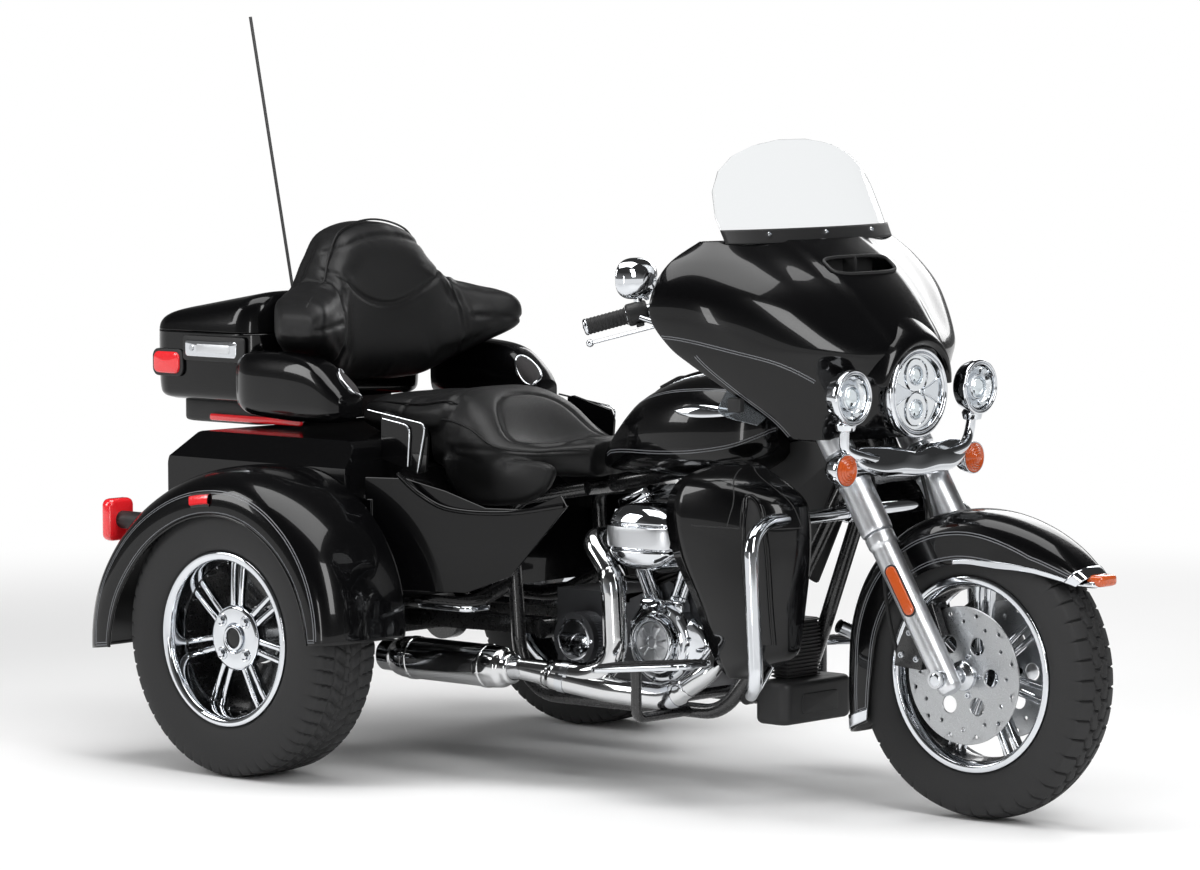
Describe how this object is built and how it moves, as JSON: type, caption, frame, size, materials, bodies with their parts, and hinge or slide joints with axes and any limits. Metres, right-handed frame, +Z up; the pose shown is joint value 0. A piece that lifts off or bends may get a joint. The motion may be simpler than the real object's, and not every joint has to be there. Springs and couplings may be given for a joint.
{
  "type": "motorized touring trike",
  "caption": "Touring trike: steered front wheel under a fork-mounted fairing, V-twin engine, two seats, hinged top trunk, rear body with a trunk door and two rear wheels.",
  "frame": {"origin": "on the ground, at the middle of the bounding box's length and width", "axes": "+X forward, +Y to the rider's left, +Z up"},
  "size_m": [2.8486, 1.39, 1.7376],
  "materials": {
    "frame_paint": "gloss black paint",
    "engine_alloy": "cast alloy",
    "engine_black": "black coated alloy with bright fin edges",
    "chrome": "polished chrome",
    "body_paint": "gloss black paint",
    "trim_black": "satin black",
    "seat_leather": "black seat cover",
    "red_lens": "red lens",
    "amber_lens": "amber lens",
    "fork_steel": "brushed silver",
    "screen_clear": "clear screen",
    "grip_rubber": "black rubber",
    "wheel_alloy": "polished alloy",
    "tyre_rubber": "black tyre",
    "disc_steel": "ground steel"
  },
  "bodies": {
    "chassis": {"frame": "frame_paint", "crankcase": "engine_alloy", "cylinders": "engine_black", "rocker_covers": "chrome", "cam_cover": "chrome", "primary_cover": "chrome", "gearbox": "engine_alloy", "air_cleaner": "chrome", "exhaust": "chrome", "fuel_tank": "body_paint", "tank_console": "trim_black", "seat": "seat_leather", "backrest": "seat_leather", "trunk_base": "body_paint", "speaker_pods": "body_paint", "trunk_latch": "chrome", "trunk_lamps": "red_lens", "antenna": "trim_black", "rear_body": "body_paint", "rear_fenders": "body_paint", "tail_lamps": "red_lens", "side_panels": "body_paint", "rear_axle": "frame_paint", "lower_fairings": "body_paint", "engine_guard": "chrome", "chin_cover": "trim_black", "footboards": "trim_black"},
    "steering": {"fork_yokes": "frame_paint", "fork_legs": "fork_steel", "front_axle": "fork_steel", "brake_calipers": "frame_paint", "front_fender": "body_paint", "fender_lamp": "amber_lens", "outer_fairing": "body_paint", "inner_fairing": "trim_black", "windshield": "screen_clear", "headlamp": "chrome", "passing_lamps": "chrome", "turn_signals": "amber_lens", "handlebar": "chrome", "hand_controls": "grip_rubber", "mirrors": "chrome"},
    "front_wheel": {"front_rim": "wheel_alloy", "front_tyre": "tyre_rubber", "front_discs": "disc_steel"},
    "rear_wheel_left": {"rear_rim_left": "wheel_alloy", "rear_tyre_left": "tyre_rubber"},
    "rear_wheel_right": {"rear_rim_right": "wheel_alloy", "rear_tyre_right": "tyre_rubber"},
    "trunk_lid": {"trunk_lid": "body_paint"},
    "trunk_door": {"trunk_door": "body_paint"}
  },
  "joints": [
    {"name": "steer", "type": "hinge", "parent": "chassis", "child": "steering", "pos_m": [0.78744, 0, 0.83], "axis": [-0.4384, 0, 0.8988], "range_deg": [-27, 27]},
    {"name": "front_spin", "type": "hinge", "parent": "steering", "child": "front_wheel", "pos_m": [1.08826, 0, 0.317], "axis": [0, 1, 0], "continuous": true},
    {"name": "rear_left_spin", "type": "hinge", "parent": "chassis", "child": "rear_wheel_left", "pos_m": [-0.58174, 0.585, 0.319], "axis": [0, 1, 0], "continuous": true},
    {"name": "rear_right_spin", "type": "hinge", "parent": "chassis", "child": "rear_wheel_right", "pos_m": [-0.58174, -0.585, 0.319], "axis": [0, 1, 0], "continuous": true},
    {"name": "lid_hinge", "type": "hinge", "parent": "chassis", "child": "trunk_lid", "pos_m": [-1.04774, 0.309, 0.986], "axis": [-1, 0, 0], "range_deg": [0, 70]},
    {"name": "door_hinge", "type": "hinge", "parent": "chassis", "child": "trunk_door", "pos_m": [-1.02174, 0.366, 0.52], "axis": [0, 0, -1], "range_deg": [0, 95]}
  ]
}
